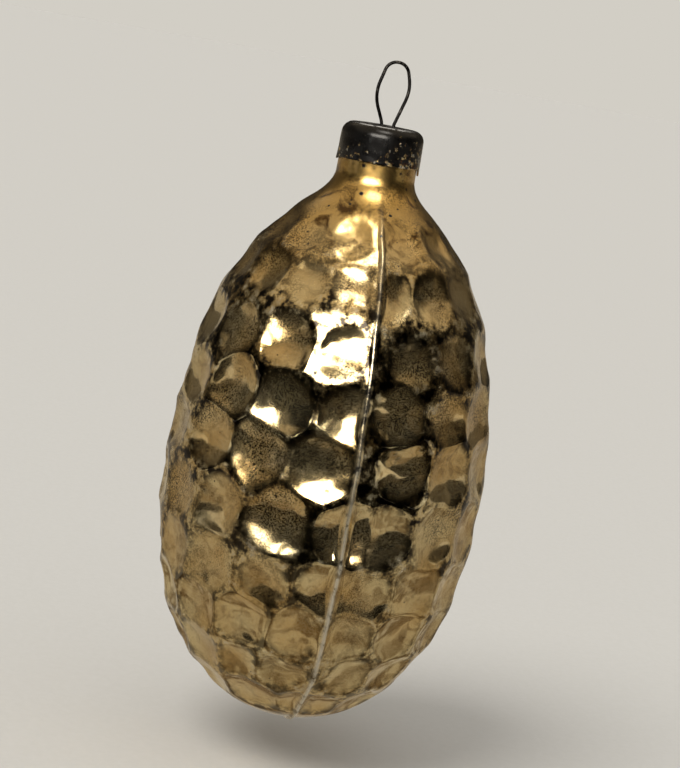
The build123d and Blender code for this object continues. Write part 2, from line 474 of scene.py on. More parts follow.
def glass_material(look):
    """Blown soda glass, silvered inside and dipped in gold lacquer: a slightly waved mirror under
    clear gloss. Age gives brown stains at the neck, speckle where the silver has tarnished and black pinholes
    where it has gone. Broken lines are painted along the ridges: dark ones as painted reflections of the dark
    room, pale ones as painted highlights, and a painted silver-white highlight along the mould seam below the
    belly."""
    material, tree, shader = new_material("silvered_glass_gold_lacquered")
    place = add_node(tree, "ShaderNodeTexCoord").outputs["Object"]
    axes = add_node(tree, "ShaderNodeSeparateXYZ", {0: place}).outputs
    depth = add_node(tree, "ShaderNodeAttribute", attribute_name="dimple_depth").outputs["Fac"]
    seam = add_node(tree, "ShaderNodeAttribute", attribute_name="seam_line").outputs["Fac"]

    # Lacquer: pale champagne to deeper gold in clouds about 10 mm wide, amber near the neck.
    clouds = add_node(tree, "ShaderNodeTexNoise", {
        "Vector": place, "Scale": 110.0, "Detail": 4.0, "Roughness": 0.55}).outputs["Fac"]
    cloud_mix = add_node(tree, "ShaderNodeMapRange", {
        "Value": clouds, "From Min": 0.38, "From Max": 0.64}).outputs["Result"]
    colour = add_node(tree, "ShaderNodeMix", {
        "Factor": cloud_mix, COLOUR_A: linear(look.pale_gold), COLOUR_B: linear(look.deep_gold)},
        data_type="RGBA").outputs[COLOUR_OUT]
    high = add_node(tree, "ShaderNodeMapRange", {
        "Value": axes["Z"], "From Min": -32 * MM, "From Max": -20 * MM}).outputs["Result"]
    neck_mix = add_node(tree, "ShaderNodeMath", {0: high, 1: 0.85}, operation="MULTIPLY").outputs[0]

    # Brown stains 2 to 5 mm wide, thickest round the neck.
    stains = add_node(tree, "ShaderNodeTexNoise", {
        "Vector": place, "Scale": 320.0, "Detail": 6.0, "Roughness": 0.65, "Distortion": 0.8}).outputs["Fac"]
    stain_edge = add_node(tree, "ShaderNodeMapRange", {
        "Value": stains, "From Min": 0.5, "From Max": 0.66}).outputs["Result"]
    stain_all = add_node(tree, "ShaderNodeMath", {0: high, 1: 0.45}, use_clamp=True).outputs[0]
    stain_mix = add_node(tree, "ShaderNodeMath", {
        0: stain_edge, 1: stain_all}, operation="MULTIPLY").outputs[0]

    # Tarnish: speckle about 0.2 mm in drifting patches a cell or so wide.
    grain = add_node(tree, "ShaderNodeTexNoise", {
        "Vector": place, "Scale": 4200.0, "Detail": 2.0, "Roughness": 0.7}).outputs["Fac"]
    grain_spots = add_node(tree, "ShaderNodeMapRange", {
        "Value": grain, "From Min": 0.46, "From Max": 0.62}).outputs["Result"]
    grain_patch = add_node(tree, "ShaderNodeTexNoise", {
        "Vector": place, "Scale": 120.0, "Detail": 3.0, "Distortion": 0.5}).outputs["Fac"]
    patch_mix = add_node(tree, "ShaderNodeMapRange", {
        "Value": grain_patch, "From Min": 0.44, "From Max": 0.66}).outputs["Result"]
    patch_up = add_node(tree, "ShaderNodeMapRange", {
        "Value": axes["Z"], "From Min": -84 * MM, "From Max": -66 * MM, "To Min": 0.25}).outputs["Result"]
    patch_share = add_node(tree, "ShaderNodeMath", {
        0: patch_mix, 1: patch_up}, operation="MULTIPLY").outputs[0]
    grain_mix = add_node(tree, "ShaderNodeMath", {
        0: grain_spots, 1: patch_share}, operation="MULTIPLY").outputs[0]

    # Pinholes about 0.3 mm where the silver is gone, most of them near the neck.
    holes = add_node(tree, "ShaderNodeTexVoronoi", {
        "Vector": place, "Scale": 700.0, "Randomness": 1.0}, feature="F1").outputs
    hole_size = add_node(tree, "ShaderNodeMapRange", {
        "Value": high, "To Min": 0.1, "To Max": 0.26}).outputs["Result"]
    hole_pick = add_node(tree, "ShaderNodeSeparateColor", {0: holes["Color"]}).outputs[0]
    hole_few = add_node(tree, "ShaderNodeMapRange", {
        "Value": hole_pick, "From Min": 0.55, "From Max": 1.0}).outputs["Result"]
    hole_radius = add_node(tree, "ShaderNodeMath", {
        0: hole_size, 1: hole_few}, operation="MULTIPLY").outputs[0]
    hole = add_node(tree, "ShaderNodeMath", {
        0: holes["Distance"], 1: hole_radius}, operation="LESS_THAN").outputs[0]

    # Painted reflections on the ridges: thin broken lines along them, some painted dark for the dark room
    # that they reflect and some painted pale as highlights. The mould seam gets a painted silver-white
    # highlight below the belly.
    line_breakup_noise = add_node(tree, "ShaderNodeTexNoise", {
        "Vector": place, "Scale": 500.0, "Detail": 5.0, "Roughness": 0.65}).outputs["Fac"]
    ridge = add_node(tree, "ShaderNodeMapRange", {
        "Value": depth, "From Min": 0.48 * MM, "From Max": 0.16 * MM}).outputs["Result"]
    below_neck = add_node(tree, "ShaderNodeMapRange", {
        "Value": axes["Z"], "From Min": -24 * MM, "From Max": -31 * MM}).outputs["Result"]
    ridge_low = add_node(tree, "ShaderNodeMath", {0: ridge, 1: below_neck}, operation="MULTIPLY").outputs[0]
    # Painted dark reflection lines on the ridges, in the tarnish colour.
    dark_reflection_line = add_node(tree, "ShaderNodeMapRange", {
        "Value": line_breakup_noise, "From Min": 0.56, "From Max": 0.44}).outputs["Result"]
    ridge_dark_reflection = add_node(tree, "ShaderNodeMath", {
        0: ridge_low, 1: dark_reflection_line}, operation="MULTIPLY").outputs[0]
    dark_up = add_node(tree, "ShaderNodeMapRange", {
        "Value": axes["Z"], "From Min": -88 * MM, "From Max": -66 * MM, "To Min": 0.75}).outputs["Result"]
    dark_reflection_share = add_node(tree, "ShaderNodeMath", {
        0: ridge_dark_reflection, 1: dark_up}, operation="MULTIPLY").outputs[0]
    # Painted pale highlight lines on the ridges and along the seam.
    highlight_line = add_node(tree, "ShaderNodeMapRange", {
        "Value": line_breakup_noise, "From Min": 0.55, "From Max": 0.7}).outputs["Result"]
    ridge_highlight = add_node(tree, "ShaderNodeMath", {
        0: ridge_low, 1: highlight_line}, operation="MULTIPLY").outputs[0]
    seam_low = add_node(tree, "ShaderNodeMapRange", {
        "Value": axes["Z"], "From Min": -50 * MM, "From Max": -76 * MM, "To Min": 0.35}).outputs["Result"]
    seam_highlight_breaks = add_node(tree, "ShaderNodeMapRange", {
        "Value": line_breakup_noise, "From Min": 0.3, "From Max": 0.48}).outputs["Result"]
    seam_share = add_node(tree, "ShaderNodeMath", {0: seam, 1: seam_low}, operation="MULTIPLY").outputs[0]
    seam_highlight = add_node(tree, "ShaderNodeMath", {
        0: seam_share, 1: seam_highlight_breaks}, operation="MULTIPLY").outputs[0]
    ridge_highlight_share = add_node(tree, "ShaderNodeMath", {
        0: ridge_highlight, 1: 0.45}, operation="MULTIPLY").outputs[0]
    painted_highlight_share = add_node(tree, "ShaderNodeMath", {
        0: ridge_highlight_share, 1: seam_highlight}, operation="MAXIMUM").outputs[0]

    # Loose gold grain in the bowls, more in some than in others, that stays matt over the mirror.
    dust_spots = add_node(tree, "ShaderNodeMapRange", {
        "Value": grain, "From Min": 0.56, "From Max": 0.44}).outputs["Result"]
    in_bowl = add_node(tree, "ShaderNodeMapRange", {
        "Value": depth, "From Min": 0.3 * MM, "From Max": 0.8 * MM}).outputs["Result"]
    dust_patch = add_node(tree, "ShaderNodeMapRange", {
        "Value": clouds, "From Min": 0.36, "From Max": 0.56, "To Min": 0.3}).outputs["Result"]
    dust_share = add_node(tree, "ShaderNodeMath", {
        0: in_bowl, 1: dust_patch}, operation="MULTIPLY").outputs[0]
    dusty = add_node(tree, "ShaderNodeMath", {
        0: dust_spots, 1: dust_share}, operation="MULTIPLY").outputs[0]
    dust_tint = add_node(tree, "ShaderNodeMath", {0: dusty, 1: 0.2}, operation="MULTIPLY").outputs[0]

    # Each layer lies over the ones before it.
    # The dark ridge lines and the pale ridge and seam lines in these layers are painted reflections and
    # painted highlights.
    layers = ((neck_mix, look.amber), (stain_mix, look.stain), (grain_mix, look.tarnish_and_dark_reflection), (hole, look.bare),
              (dark_reflection_share, look.tarnish_and_dark_reflection), (painted_highlight_share, look.highlight_pale), (dust_tint, look.grain_gold))
    for share, code in layers:
        colour = add_node(tree, "ShaderNodeMix", {
            "Factor": share, COLOUR_A: colour, COLOUR_B: linear(code)},
            data_type="RGBA").outputs[COLOUR_OUT]
    tree.links.new(colour, shader.inputs["Base Color"])

    # The painted highlight lines lose the metal, and so do the pinholes.
    highlight_and_hole = add_node(tree, "ShaderNodeMath", {0: painted_highlight_share, 1: hole}, operation="MAXIMUM").outputs[0]
    metal_left = add_node(tree, "ShaderNodeMapRange", {
        "Value": highlight_and_hole, "To Min": 1.0, "To Max": 0.4}).outputs["Result"]
    dust = add_node(tree, "ShaderNodeMapRange", {
        "Value": dusty, "To Min": 1.0, "To Max": 0.8}).outputs["Result"]
    metal = add_node(tree, "ShaderNodeMath", {0: metal_left, 1: dust}, operation="MULTIPLY").outputs[0]
    tree.links.new(metal, shader.inputs["Metallic"])

    # The lacquer lies thicker and duller at the neck, and the tarnished patches are a little dull.
    patch_rough = add_node(tree, "ShaderNodeMapRange", {
        "Value": patch_mix, "To Min": 0.1, "To Max": 0.24}).outputs["Result"]
    neck_rough = add_node(tree, "ShaderNodeMix", {
        "Factor": high, NUMBER_A: patch_rough, NUMBER_B: 0.27}, data_type="FLOAT").outputs[0]
    rough = add_node(tree, "ShaderNodeMix", {
        "Factor": painted_highlight_share, NUMBER_A: neck_rough, NUMBER_B: 0.4}, data_type="FLOAT").outputs[0]
    tree.links.new(rough, shader.inputs["Roughness"])
    ripple = add_node(tree, "ShaderNodeTexNoise", {
        "Vector": place, "Scale": 900.0, "Detail": 3.0, "Roughness": 0.5}).outputs["Fac"]
    bump = add_node(tree, "ShaderNodeBump", {
        "Strength": 0.25, "Distance": 0.05 * MM, "Height": ripple}).outputs[0]
    tree.links.new(bump, shader.inputs["Normal"])
    shader.inputs["Coat Weight"].default_value = 0.3
    shader.inputs["Coat Roughness"].default_value = 0.06
    return material


def cap_material(look):
    """Tinplate, stamped and japanned black: a glossy dark skin with an uneven edge, worn through
    near the rim to silver tin, brown rust and the gold lacquer that splashed on it."""
    material, tree, shader = new_material("tinplate_stamped_japanned")
    place = add_node(tree, "ShaderNodeTexCoord").outputs["Object"]
    axes = add_node(tree, "ShaderNodeSeparateXYZ", {0: place}).outputs
    low = add_node(tree, "ShaderNodeMapRange", {
        "Value": axes["Z"], "From Min": -10.2 * MM, "From Max": -14.8 * MM}).outputs["Result"]
    side = add_node(tree, "ShaderNodeMapRange", {
        "Value": axes["X"], "From Min": -6 * MM, "From Max": 6 * MM, "To Min": -0.02, "To Max": 0.07,
    }).outputs["Result"]
    chips = add_node(tree, "ShaderNodeTexNoise", {
        "Vector": place, "Scale": 1500.0, "Detail": 5.0, "Roughness": 0.7}).outputs["Fac"]
    chip_low = add_node(tree, "ShaderNodeMath", {0: low, 1: 0.14}, operation="MULTIPLY").outputs[0]
    chip_sum = add_node(tree, "ShaderNodeMath", {0: chips, 1: chip_low}).outputs[0]
    chip_side = add_node(tree, "ShaderNodeMath", {0: chip_sum, 1: side}).outputs[0]
    worn = add_node(tree, "ShaderNodeMapRange", {
        "Value": chip_side, "From Min": 0.69, "From Max": 0.72}).outputs["Result"]
    kind = add_node(tree, "ShaderNodeTexNoise", {
        "Vector": place, "Scale": 800.0, "Detail": 2.0}).outputs["Fac"]
    flake = add_node(tree, "ShaderNodeValToRGB", {"Fac": kind})
    ramp = flake.color_ramp
    ramp.elements[0].position = 0.42
    ramp.elements[0].color = linear(look.rust)
    ramp.elements[1].position = 0.6
    ramp.elements[1].color = linear(look.tin)
    gold = ramp.elements.new(0.5)
    gold.color = linear(look.deep_gold)
    body = add_node(tree, "ShaderNodeMix", {
        "Factor": kind, COLOUR_A: linear(look.japan), COLOUR_B: linear(look.japan_brown)},
        data_type="RGBA").outputs[COLOUR_OUT]
    colour = add_node(tree, "ShaderNodeMix", {
        "Factor": worn, COLOUR_A: body, COLOUR_B: flake.outputs["Color"]},
        data_type="RGBA").outputs[COLOUR_OUT]
    tree.links.new(colour, shader.inputs["Base Color"])
    metal = add_node(tree, "ShaderNodeMath", {0: worn, 1: 0.8}, operation="MULTIPLY").outputs[0]
    tree.links.new(metal, shader.inputs["Metallic"])
    rough_noise = add_node(tree, "ShaderNodeTexNoise", {
        "Vector": place, "Scale": 600.0, "Detail": 4.0}).outputs["Fac"]
    rough = add_node(tree, "ShaderNodeMapRange", {
        "Value": rough_noise, "From Min": 0.35, "From Max": 0.7, "To Min": 0.2, "To Max": 0.36,
    }).outputs["Result"]
    tree.links.new(rough, shader.inputs["Roughness"])
    height = add_node(tree, "ShaderNodeMath", {0: rough_noise, 1: worn}, operation="SUBTRACT").outputs[0]
    bump = add_node(tree, "ShaderNodeBump", {
        "Strength": 0.5, "Distance": 0.08 * MM, "Height": height}).outputs[0]
    tree.links.new(bump, shader.inputs["Normal"])
    shader.inputs["Specular IOR Level"].default_value = 0.25
    shader.inputs["Coat Weight"].default_value = 0.12
    shader.inputs["Coat Roughness"].default_value = 0.16
    return material


def wire_material(look):
    """Soft iron wire, drawn and annealed: near black scale with a low satin shine and faint lengthwise
    streaks, rubbed a little brighter in places."""
    material, tree, shader = new_material("iron_wire_drawn_annealed")
    place = add_node(tree, "ShaderNodeTexCoord").outputs["Object"]
    stretched = add_node(tree, "ShaderNodeMapping", {
        "Vector": place, "Scale": (1.0, 1.0, 0.25)}).outputs[0]
    scale = add_node(tree, "ShaderNodeTexNoise", {
        "Vector": stretched, "Scale": 2500.0, "Detail": 4.0, "Roughness": 0.6}).outputs["Fac"]
    rub = add_node(tree, "ShaderNodeMapRange", {
        "Value": scale, "From Min": 0.5, "From Max": 0.72}).outputs["Result"]
    colour = add_node(tree, "ShaderNodeMix", {
        "Factor": rub, COLOUR_A: linear(look.iron_scale), COLOUR_B: linear(look.iron_rubbed)},
        data_type="RGBA").outputs[COLOUR_OUT]
    tree.links.new(colour, shader.inputs["Base Color"])
    shader.inputs["Metallic"].default_value = 1.0
    rough = add_node(tree, "ShaderNodeMapRange", {
        "Value": scale, "From Min": 0.3, "From Max": 0.7, "To Min": 0.28, "To Max": 0.45}).outputs["Result"]
    tree.links.new(rough, shader.inputs["Roughness"])
    bump = add_node(tree, "ShaderNodeBump", {
        "Strength": 0.3, "Distance": 0.02 * MM, "Height": scale}).outputs[0]
    tree.links.new(bump, shader.inputs["Normal"])
    return material


def floor_material(look):
    """Studio paper, matt: a warm pale sheet with a very fine tooth."""
    material, tree, shader = new_material("studio_paper_matt")
    place = add_node(tree, "ShaderNodeTexCoord").outputs["Object"]
    tooth = add_node(tree, "ShaderNodeTexNoise", {
        "Vector": place, "Scale": 900.0, "Detail": 3.0}).outputs["Fac"]
    colour = add_node(tree, "ShaderNodeMix", {
        "Factor": tooth, COLOUR_A: linear(look.paper), COLOUR_B: linear(look.paper_light)},
        data_type="RGBA").outputs[COLOUR_OUT]
    tree.links.new(colour, shader.inputs["Base Color"])
    shader.inputs["Roughness"].default_value = 0.9
    shader.inputs["Specular IOR Level"].default_value = 0.0
    return material


# ---------------------------------------------------------------- cap and wire meshes


def cap_section(gap):
    """Half section of the cap's skin from the middle of the top to the rim, moved inwards by gap."""
    flat_steps, bend_steps, skirt_steps = 14, 12, 20
    top = CAP_TOP_Z - gap
    top_radius = CAP_TOP_RADIUS - gap
    bend = CAP_SHOULDER_RADIUS - gap
    corner = top_radius - bend
    flat = [(corner * i / flat_steps, top) for i in range(1, flat_steps)] + [(corner, top)]
    turns = [pi / 2 * i / bend_steps for i in range(1, bend_steps + 1)]
    shoulder = [(corner + bend * sin(turn), top - bend + bend * cos(turn)) for turn in turns]
    flare = CAP_SKIRT_RADIUS - gap - top_radius
    side = top - bend - CAP_RIM_Z
    skirt = [(top_radius + flare * i / skirt_steps, top - bend - side * i / skirt_steps)
             for i in range(1, skirt_steps + 1)]
    return flat + shoulder + skirt


def rim_shape(angle, z):
    """Drop and outward bend of the cap's torn rim at an angle from -Y towards +X, near height z."""
    near_rim = smooth(-CAP_RIM_Z - 1.6, -CAP_RIM_Z, -z)
    wave = 0.12 * sin(3 * angle + 0.8) + 0.07 * sin(7 * angle + 2.0) + 0.04 * sin(13 * angle)
    tab = exp(-((angle - TAB_ANGLE) / 0.13) ** 2)
    tip = exp(-((angle - TIP_ANGLE) / 0.1) ** 2)
    drop = near_rim * (0.12 * wave + TAB_DROP * tab + TIP_DROP * tip)
    out = near_rim * (0.05 * wave + 0.1 * tip)
    return drop, out


def cap_shell(material):
    """Closed shell of bent sheet: outer skin, rounded rim and inner skin, slightly dented by hand."""
    columns = 200
    edge = [(CAP_SKIRT_RADIUS - CAP_SHEET / 2, CAP_RIM_Z - 0.05)]
    rows = cap_section(0.0) + edge + cap_section(CAP_SHEET)[::-1]
    angles = [tau * i / columns for i in range(columns)]
    points = [(0, 0, CAP_TOP_Z)]
    for radius, z in rows:
        bent = smooth(1.5, 4.5, radius)
        crown = CAP_CROWN * smooth(0, 5, radius)
        for a in angles:
            drop, out = rim_shape(a, z)
            dent = CAP_DENT * noise.noise(Vector((cos(a) * 1.6, sin(a) * 1.6, z * 0.35)))
            ring = radius + (dent + out) * bent - CAP_SQUEEZE * bent
            points.append((ring * sin(a), -ring * cos(a), z - drop - crown))
    points.append((0, 0, CAP_TOP_Z - CAP_SHEET))
    # The cap's skin sets out from its highest pole, so its faces are turned round.
    faces = [(first, *rest[::-1]) for first, *rest in ring_faces(len(rows), columns)]
    return mesh_object("cap_shell", points, faces, material)


def drill(obj, x, radius):
    """Cuts one upright hole through obj at x with a temporary round cutter."""
    mesh = bpy.data.meshes.new("drill")
    shape = bmesh.new()
    place = Matrix.Translation((x * MM, 0, CAP_TOP_Z * MM))
    bmesh.ops.create_cone(shape, cap_ends=True, segments=32, radius1=radius * MM, radius2=radius * MM,
                          depth=3 * MM, matrix=place)
    shape.to_mesh(mesh)
    shape.free()
    cutter = new_object("drill", mesh)
    cut = obj.modifiers.new("drill", "BOOLEAN")
    cut.operation = "DIFFERENCE"
    cut.solver = "EXACT"
    cut.object = cutter
    return cutter


def wire_tree():
    """Geometry nodes that round the bent wire's corners and sweep its section along the path. Each
    path point's radius holds the bend at that corner."""
    tree = new_tree("sweep_wire", (
        ("Wire Radius", "NodeSocketFloat", 0.25 * MM),
        ("Hand Wobble", "NodeSocketFloat", 0.05 * MM),
        ("Seed", "NodeSocketFloat", 4.0),
        ("Material", "NodeSocketMaterial", None),
    ))
    feed = add_node(tree, "NodeGroupInput").outputs
    bend = add_node(tree, "GeometryNodeInputRadius").outputs[0]
    fillet = add_node(tree, "GeometryNodeFilletCurve", {
        "Curve": feed["Geometry"], "Count": 14, "Radius": bend, "Limit Radius": True}, mode="POLY").outputs[0]
    even = add_node(tree, "GeometryNodeResampleCurve", {
        "Curve": fillet, "Length": 0.2 * MM}, mode="LENGTH").outputs[0]
    position = add_node(tree, "GeometryNodeInputPosition").outputs[0]
    wobble = add_node(tree, "ShaderNodeTexNoise", {
        "Vector": position, "W": feed["Seed"], "Scale": 260.0, "Detail": 1.0},
        noise_dimensions="4D").outputs["Color"]
    centred = add_node(tree, "ShaderNodeVectorMath", {
        0: wobble, 1: (0.5, 0.5, 0.5)}, operation="SUBTRACT").outputs[0]
    offset = add_node(tree, "ShaderNodeVectorMath", {
        0: centred, "Scale": feed["Hand Wobble"]}, operation="SCALE").outputs[0]
    shaken = add_node(tree, "GeometryNodeSetPosition", {"Geometry": even, "Offset": offset}).outputs[0]
    plain = add_node(tree, "GeometryNodeSetCurveRadius", {"Curve": shaken, "Radius": 1.0}).outputs[0]
    section = add_node(tree, "GeometryNodeCurvePrimitiveCircle", {
        "Resolution": 20, "Radius": feed["Wire Radius"]}).outputs["Curve"]
    swept = add_node(tree, "GeometryNodeCurveToMesh", {
        "Curve": plain, "Profile Curve": section, "Fill Caps": True}).outputs[0]
    shaded = add_node(tree, "GeometryNodeSetShadeSmooth", {"Geometry": swept}).outputs[0]
    real = add_node(tree, "GeometryNodeRealizeInstances", {"Geometry": shaded}).outputs[0]
    painted = add_node(tree, "GeometryNodeSetMaterial", {
        "Geometry": real, "Material": feed["Material"]}).outputs[0]
    add_node(tree, "NodeGroupOutput", {"Geometry": painted})
    return tree


def wire_path(sizes):
    """The hanger's corners as a straight-run curve, with each corner's bend as the point's radius."""
    waist = CAP_TOP_Z - CAP_SHEET / 2
    middle = sizes.loop_middle
    half = sizes.loop_width / 2
    top = sizes.wire_thickness / 2
    corners = (
        (-sizes.leg_spread, sizes.leg_end, 0.0),
        (middle - 0.8, waist, 2.5),
        (middle - half - 0.3, -5.0, 6.0),
        (middle - half + 1.05, top, 1.8),
        (middle + half - 1.2, top, 1.8),
        (middle + half - 0.05, -3.4, 6.0),
        (middle + 0.8, waist, 2.5),
        (sizes.leg_spread, sizes.leg_end, 0.0),
    )
    curve = bpy.data.curves.new("wire_path", "CURVE")
    curve.dimensions = "3D"
    spline = curve.splines.new("POLY")
    spline.points.add(len(corners) - 1)
    for point, (x, z, bend) in zip(spline.points, corners):
        point.co = (x * MM, 0, z * MM, 1)
        point.radius = bend * MM
    return new_object("wire_path", curve)


# ---------------------------------------------------------------- settings


class GlassSizes(bpy.types.PropertyGroup):
    """Sizes of the pressed glass, in millimetres."""
    sphere_radius: bpy.props.FloatProperty(
        name="Dimple Curve", description="Radius of the bowl that presses a dimple, mm", default=20.0)
    edge_depth: bpy.props.FloatProperty(
        name="Edge Depth", description="How deep the middle of a dimple's edge lies, mm", default=0.1)
    ridge_rounding: bpy.props.FloatProperty(
        name="Ridge Rounding", description="Softness of the ridges, mm", default=0.16)
    warp: bpy.props.FloatProperty(
        name="Warp", description="How far the bowls' outlines are pulled out of round, mm", default=2.6)
    warp_length: bpy.props.FloatProperty(
        name="Warp Length", description="Length of that pull along the skin, mm", default=5.5)
    wander: bpy.props.FloatProperty(
        name="Wander", description="How far a dimple strays from its place, mm", default=0.45)
    seam_height: bpy.props.FloatProperty(
        name="Seam Height", description="Rise of the mould seam, mm", default=0.4)
    seam_width: bpy.props.FloatProperty(
        name="Seam Width", description="Half width of the seam, mm", default=0.33)
    wave_height: bpy.props.FloatProperty(
        name="Wave Height", description="Waviness of the blown skin, mm", default=0.35)
    wave_length: bpy.props.FloatProperty(
        name="Wave Length", description="Length of the waves in the skin, mm", default=8.0)
    columns: bpy.props.IntProperty(name="Columns", description="Mesh columns round the axis", default=340)
    rings: bpy.props.IntProperty(name="Rings", description="Mesh rings up the outside", default=250)
    seed: bpy.props.IntProperty(name="Seed", description="Draw for the dimples' wander", default=7)


class WireSizes(bpy.types.PropertyGroup):
    """Sizes of the wire hanger, in millimetres."""
    wire_thickness: bpy.props.FloatProperty(name="Wire", description="Wire diameter, mm", default=0.5)
    loop_width: bpy.props.FloatProperty(name="Loop Width", description="Middle to middle, mm", default=5.1)
    loop_middle: bpy.props.FloatProperty(
        name="Loop Middle", description="How far towards +X it stands, mm", default=0.5)
    leg_spread: bpy.props.FloatProperty(
        name="Leg Spread", description="Half distance of the legs' ends, mm", default=3.2)
    leg_end: bpy.props.FloatProperty(
        name="Leg End", description="Height of the legs' ends, mm", default=-21.3)
    wobble: bpy.props.FloatProperty(
        name="Hand Wobble", description="Unevenness of the bent wire, mm", default=0.12)


class Colours(bpy.types.PropertyGroup):
    """Finish colours, as sRGB hex codes."""
    pale_gold: bpy.props.StringProperty(
        name="Pale Gold", description="Lacquer over bright silver", default="E8D6A6")
    deep_gold: bpy.props.StringProperty(name="Deep Gold", description="Thicker lacquer", default="D3B67C")
    amber: bpy.props.StringProperty(name="Amber", description="Aged lacquer at the neck", default="CDA75C")
    stain: bpy.props.StringProperty(name="Stain", description="Brown stain", default="5E431B")
    grain_gold: bpy.props.StringProperty(
        name="Grain Gold", description="Loose gold grain", default="B07A34")
    # This colour is the tarnished silver grain and also the painted dark reflection lines along the ridges.
    tarnish_and_dark_reflection: bpy.props.StringProperty(
        name="Tarnish", description="Tarnished silver grain", default="1E160B")
    bare: bpy.props.StringProperty(name="Bare", description="Pinhole in the silver", default="0C0905")
    # This colour is the painted pale highlight along the ridges and the seam.
    highlight_pale: bpy.props.StringProperty(name="Haze", description="Rubbed ridge", default="D3CBB8")
    japan: bpy.props.StringProperty(name="Japan", description="Black japanning", default="060606")
    japan_brown: bpy.props.StringProperty(name="Thin Japan", description="Thin japanning", default="0F0C0A")
    tin: bpy.props.StringProperty(name="Tin", description="Bare tinplate", default="B9B4A6")
    rust: bpy.props.StringProperty(name="Rust", description="Rust at a chip", default="4A2E1A")
    iron_scale: bpy.props.StringProperty(name="Iron Scale", description="Annealing scale", default="1C1B1B")
    iron_rubbed: bpy.props.StringProperty(name="Rubbed Iron", description="Rubbed wire", default="5A5753")
    paper: bpy.props.StringProperty(name="Paper", description="Floor", default="CFCBC2")
    paper_middle: bpy.props.StringProperty(
        name="Paper Middle", description="Floor, far away", default="D2CEC5")
    paper_light: bpy.props.StringProperty(
        name="Paper Light", description="Floor, lighter", default="D5D1C9")


class StageSizes(bpy.types.PropertyGroup):
    """Camera and floor."""
    azimuth: bpy.props.FloatProperty(
        name="Azimuth", description="Camera's turn about the object", default=radians(-11), subtype="ANGLE")
    elevation: bpy.props.FloatProperty(
        name="Elevation", description="Camera above the level", default=radians(12), subtype="ANGLE")
    lean: bpy.props.FloatProperty(
        name="Lean", description="Lean of the axis to the right in the picture", default=radians(10),
        subtype="ANGLE")
    distance: bpy.props.FloatProperty(
        name="Distance", description="Camera to the aimed point", default=0.3, unit="LENGTH")
    aim_height: bpy.props.FloatProperty(
        name="Aim", description="Height of the aimed point on the axis", default=-0.0611, unit="LENGTH")
    lens: bpy.props.FloatProperty(name="Lens", description="Focal length", default=91.4, unit="CAMERA")


# ---------------------------------------------------------------- operators


class ORNAMENT_OT_glass_body(bpy.types.Operator):
    """Press the honeycomb glass shell and give it its silvered, lacquered finish"""
    bl_idname = "ornament.glass_body"
    bl_label = "Glass Body"

    def execute(self, context):
        sizes = context.scene.ornament_glass
        material = glass_material(context.scene.ornament_colours)
        blank = glass_blank(sizes.columns, sizes.rings, 20, material)
        centres = dimple_centres(sizes.sphere_radius, sizes.edge_depth, sizes.wander, sizes.seed)
        nodes_modifier(blank, press_tree(), {
            "Dimples": centres,
            "Ridge Rounding": sizes.ridge_rounding * MM,
            "Warp": sizes.warp * MM,
            "Warp Length": sizes.warp_length * MM,
            "Seam Height": sizes.seam_height * MM,
            "Seam Width": sizes.seam_width * MM,
            "Wave Height": sizes.wave_height * MM,
            "Wave Length": sizes.wave_length * MM,
            "Material": material,
        })
        body = made_plain(blank, "dimpled_glass_shell")
        bpy.data.objects.remove(centres)
        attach(body, "glass")
        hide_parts("glass_body")
        return {"FINISHED"}


class ORNAMENT_OT_cap(bpy.types.Operator):
    """Stamp the cap with its torn rim and two wire holes"""
    bl_idname = "ornament.cap"
    bl_label = "Cap"

    def execute(self, context):
        material = cap_material(context.scene.ornament_colours)
        shell = cap_shell(material)
        cutters = [drill(shell, x, CAP_HOLE_RADIUS) for x in CAP_HOLES_X]
        cap = made_plain(shell, "stamped_cap")
        for cutter in cutters:
            bpy.data.objects.remove(cutter)
        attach(cap, "cap")
        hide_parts("cap")
        return {"FINISHED"}


class ORNAMENT_OT_wire_hanger(bpy.types.Operator):
    """Bend the wire loop with its two sprung legs"""
    bl_idname = "ornament.wire_hanger"
    bl_label = "Wire Hanger"

    def execute(self, context):
        sizes = context.scene.ornament_wire
        material = wire_material(context.scene.ornament_colours)
        path = wire_path(sizes)
        nodes_modifier(path, wire_tree(), {
            "Wire Radius": sizes.wire_thickness / 2 * MM,
            "Hand Wobble": sizes.wobble * MM,
            "Material": material,
        })
        wire = made_plain(path, "bent_wire_loop")
        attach(wire, "hanger")
        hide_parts("wire_hanger")
        return {"FINISHED"}


class ORNAMENT_OT_stage(bpy.types.Operator):
    """Lay the pale floor, set the lights and the surroundings, and place the camera"""
    bl_idname = "ornament.stage"
    bl_label = "Stage"

    def execute(self, context):
        sizes = context.scene.ornament_stage
        make_floor(context.scene.ornament_colours)
        make_cards(sizes)
        make_world(sizes, context.scene.ornament_colours)
        make_lights(sizes)
        make_camera(sizes)
        context.scene.view_settings.view_transform = "Standard"
        return {"FINISHED"}


def towards(azimuth, elevation):
    """Unit vector from the object towards a viewer at that azimuth and elevation."""
    return Vector((sin(azimuth) * cos(elevation), -cos(azimuth) * cos(elevation), sin(elevation)))


def make_floor(look):
    """A wide round sheet a little below the hanging ornament."""
    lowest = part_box("glass_body")[0].z - FLOOR_GAP
    shape = bmesh.new()
    bmesh.ops.create_circle(shape, cap_ends=True, segments=96, radius=FLOOR_RADIUS,
                            matrix=Matrix.Translation((0, 0, lowest)))
    mesh = bpy.data.meshes.new("studio_floor")
    shape.to_mesh(mesh)
    shape.free()
    mesh.materials.append(floor_material(look))
    new_object("studio_floor", mesh)


